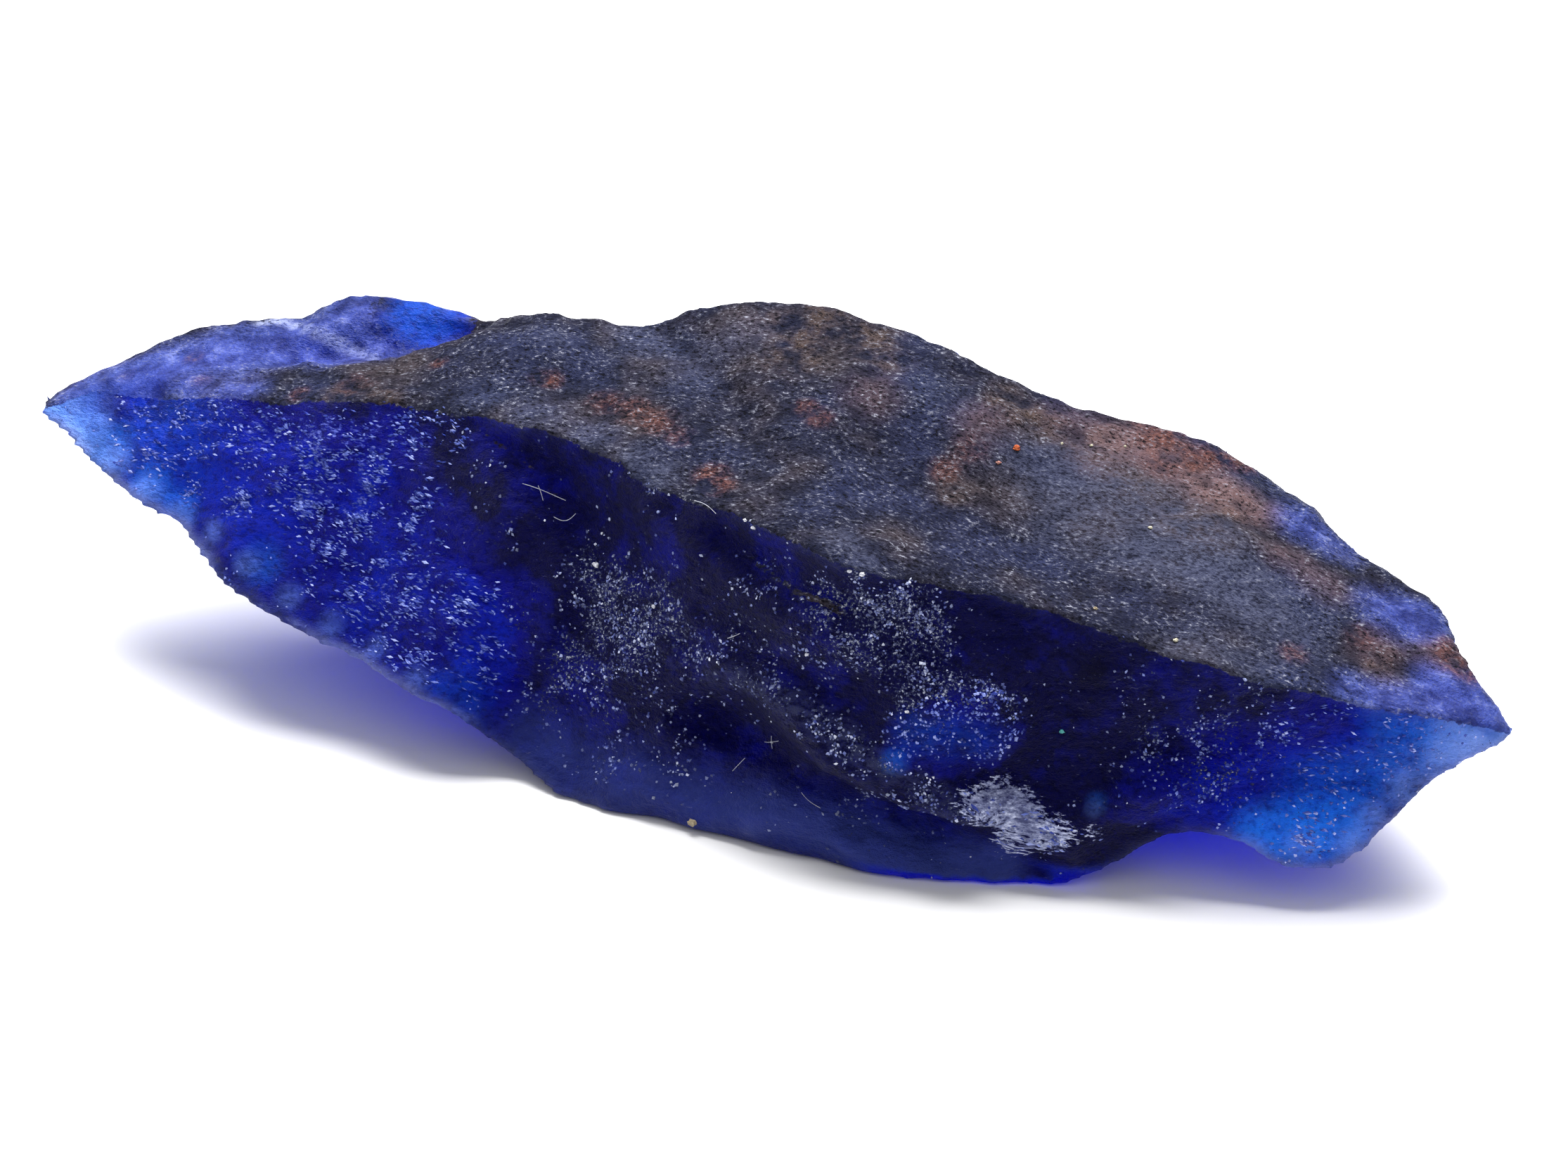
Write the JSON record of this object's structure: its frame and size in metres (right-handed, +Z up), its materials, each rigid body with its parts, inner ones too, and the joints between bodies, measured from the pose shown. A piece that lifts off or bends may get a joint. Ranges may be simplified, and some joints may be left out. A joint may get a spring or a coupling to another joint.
{
  "type": "rough sapphire",
  "caption": "Long boat-shaped piece of rough blue sapphire with a weathered grey top, a broken blue front face and a flat face underneath to rest on",
  "frame": {"origin": "on the floor plane, under the middle of the stone's bounding box", "axes": "+X along the stone from the thin blue tip to the blunt tip, +Y away from the broken front face, +Z up from the flat resting face"},
  "size_m": [0.0666, 0.0226, 0.0165],
  "materials": {
    "sapphire": "deep blue broken crystal, grey weathered top with rust stains"
  },
  "bodies": {
    "root": {"rough_sapphire": "sapphire"}
  },
  "joints": []
}
